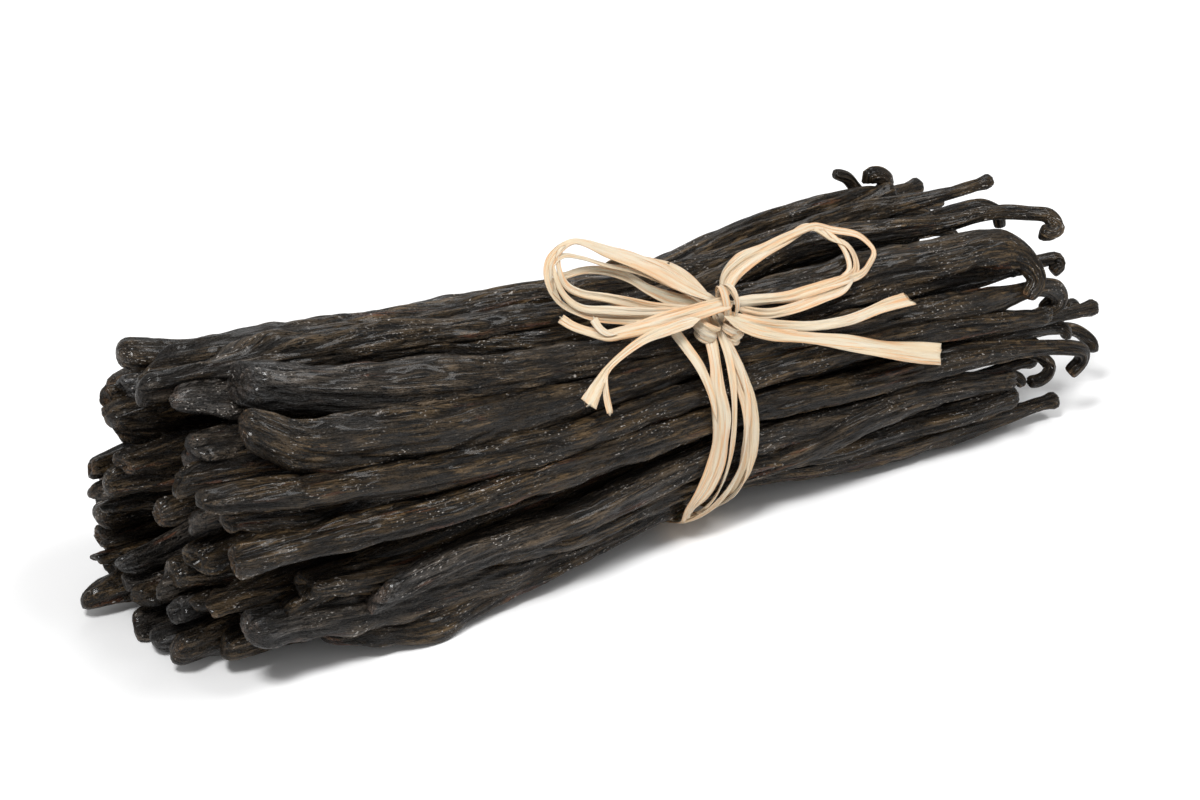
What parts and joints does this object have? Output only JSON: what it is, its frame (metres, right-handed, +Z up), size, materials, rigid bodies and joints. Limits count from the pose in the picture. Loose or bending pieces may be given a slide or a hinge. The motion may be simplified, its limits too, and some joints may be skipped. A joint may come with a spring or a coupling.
{
  "type": "bundle of vanilla pods",
  "caption": "Long slender bundle of dark cured vanilla pods, fanned at both ends and tied round the waist with a raffia bow.",
  "frame": {"origin": "on the resting plane under the middle of the bundle's box", "axes": "+X along the bundle towards the thin stem ends, -Y the front with the bow's tails, +Z up"},
  "size_m": [0.1942, 0.0574, 0.0582],
  "materials": {
    "pod_skin": "wrinkled, oily near-black brown skin with fine lengthwise creases",
    "raffia": "dry fibrous cream raffia, creased along its length"
  },
  "bodies": {
    "root": {"pod_bundle": "pod_skin", "tie_band": "raffia", "tie_knot": "raffia", "bow_loop_left": "raffia", "bow_loop_right": "raffia", "tail_left_upper": "raffia", "tail_left_lower": "raffia", "tail_right_upper": "raffia", "tail_right_lower": "raffia"}
  },
  "joints": []
}
